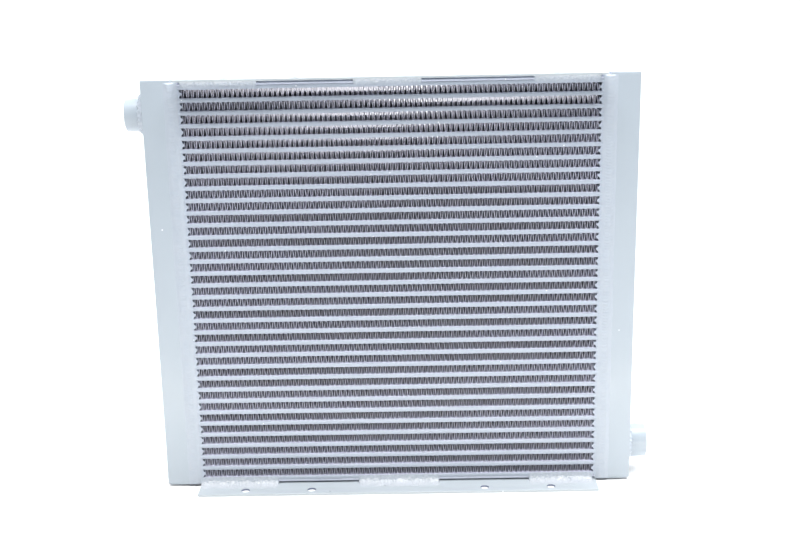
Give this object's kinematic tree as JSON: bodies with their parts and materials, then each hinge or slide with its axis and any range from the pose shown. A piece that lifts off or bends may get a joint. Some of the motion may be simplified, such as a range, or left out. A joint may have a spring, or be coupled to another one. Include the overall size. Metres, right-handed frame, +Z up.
{
  "type": "hydraulic oil cooler",
  "caption": "Bar-and-plate air-blast oil cooler: brazed finned core between two welded side tanks with threaded ports, and drilled flat mounting brackets.",
  "frame": {"origin": "centre of the bounding box in X and Y, on the underside of the bottom bracket", "axes": "+X from the left tank to the right tank, -Y out of the front face that the brackets stand out from, +Z up"},
  "size_m": [0.5946, 0.0948, 0.4814],
  "materials": {
    "painted_aluminium": "pale blue-grey satin paint over aluminium",
    "fin_aluminium": "thin folded sheet, lightly painted, dull grey",
    "weld_bead": "rippled weld under the same satin paint"
  },
  "bodies": {
    "root": {"brazed_core": "painted_aluminium", "air_fin_01": "fin_aluminium", "air_fin_02": "fin_aluminium", "air_fin_03": "fin_aluminium", "air_fin_04": "fin_aluminium", "air_fin_05": "fin_aluminium", "air_fin_06": "fin_aluminium", "air_fin_07": "fin_aluminium", "air_fin_08": "fin_aluminium", "air_fin_09": "fin_aluminium", "air_fin_10": "fin_aluminium", "air_fin_11": "fin_aluminium", "air_fin_12": "fin_aluminium", "air_fin_13": "fin_aluminium", "air_fin_14": "fin_aluminium", "air_fin_15": "fin_aluminium", "air_fin_16": "fin_aluminium", "air_fin_17": "fin_aluminium", "air_fin_18": "fin_aluminium", "air_fin_19": "fin_aluminium", "air_fin_20": "fin_aluminium", "air_fin_21": "fin_aluminium", "air_fin_22": "fin_aluminium", "air_fin_23": "fin_aluminium", "air_fin_24": "fin_aluminium", "air_fin_25": "fin_aluminium", "air_fin_26": "fin_aluminium", "air_fin_27": "fin_aluminium", "air_fin_28": "fin_aluminium", "air_fin_29": "fin_aluminium", "air_fin_30": "fin_aluminium", "air_fin_31": "fin_aluminium", "air_fin_32": "fin_aluminium", "air_fin_33": "fin_aluminium", "top_side_plate": "painted_aluminium", "bottom_side_plate": "painted_aluminium", "left_tank": "painted_aluminium", "right_tank": "painted_aluminium", "left_tank_top_cap": "painted_aluminium", "left_tank_bottom_cap": "painted_aluminium", "right_tank_top_cap": "painted_aluminium", "right_tank_bottom_cap": "painted_aluminium", "left_port_boss": "painted_aluminium", "right_port_boss": "painted_aluminium", "left_port_weld": "weld_bead", "right_port_weld": "weld_bead", "left_front_seam_weld": "weld_bead", "left_rear_seam_weld": "weld_bead", "right_front_seam_weld": "weld_bead", "right_rear_seam_weld": "weld_bead", "top_bracket": "painted_aluminium", "bottom_bracket": "painted_aluminium", "top_left_stitch_weld": "weld_bead", "top_middle_stitch_weld": "weld_bead", "top_right_stitch_weld": "weld_bead", "bottom_left_stitch_weld": "weld_bead", "bottom_middle_stitch_weld": "weld_bead", "bottom_right_stitch_weld": "weld_bead"}
  },
  "joints": []
}
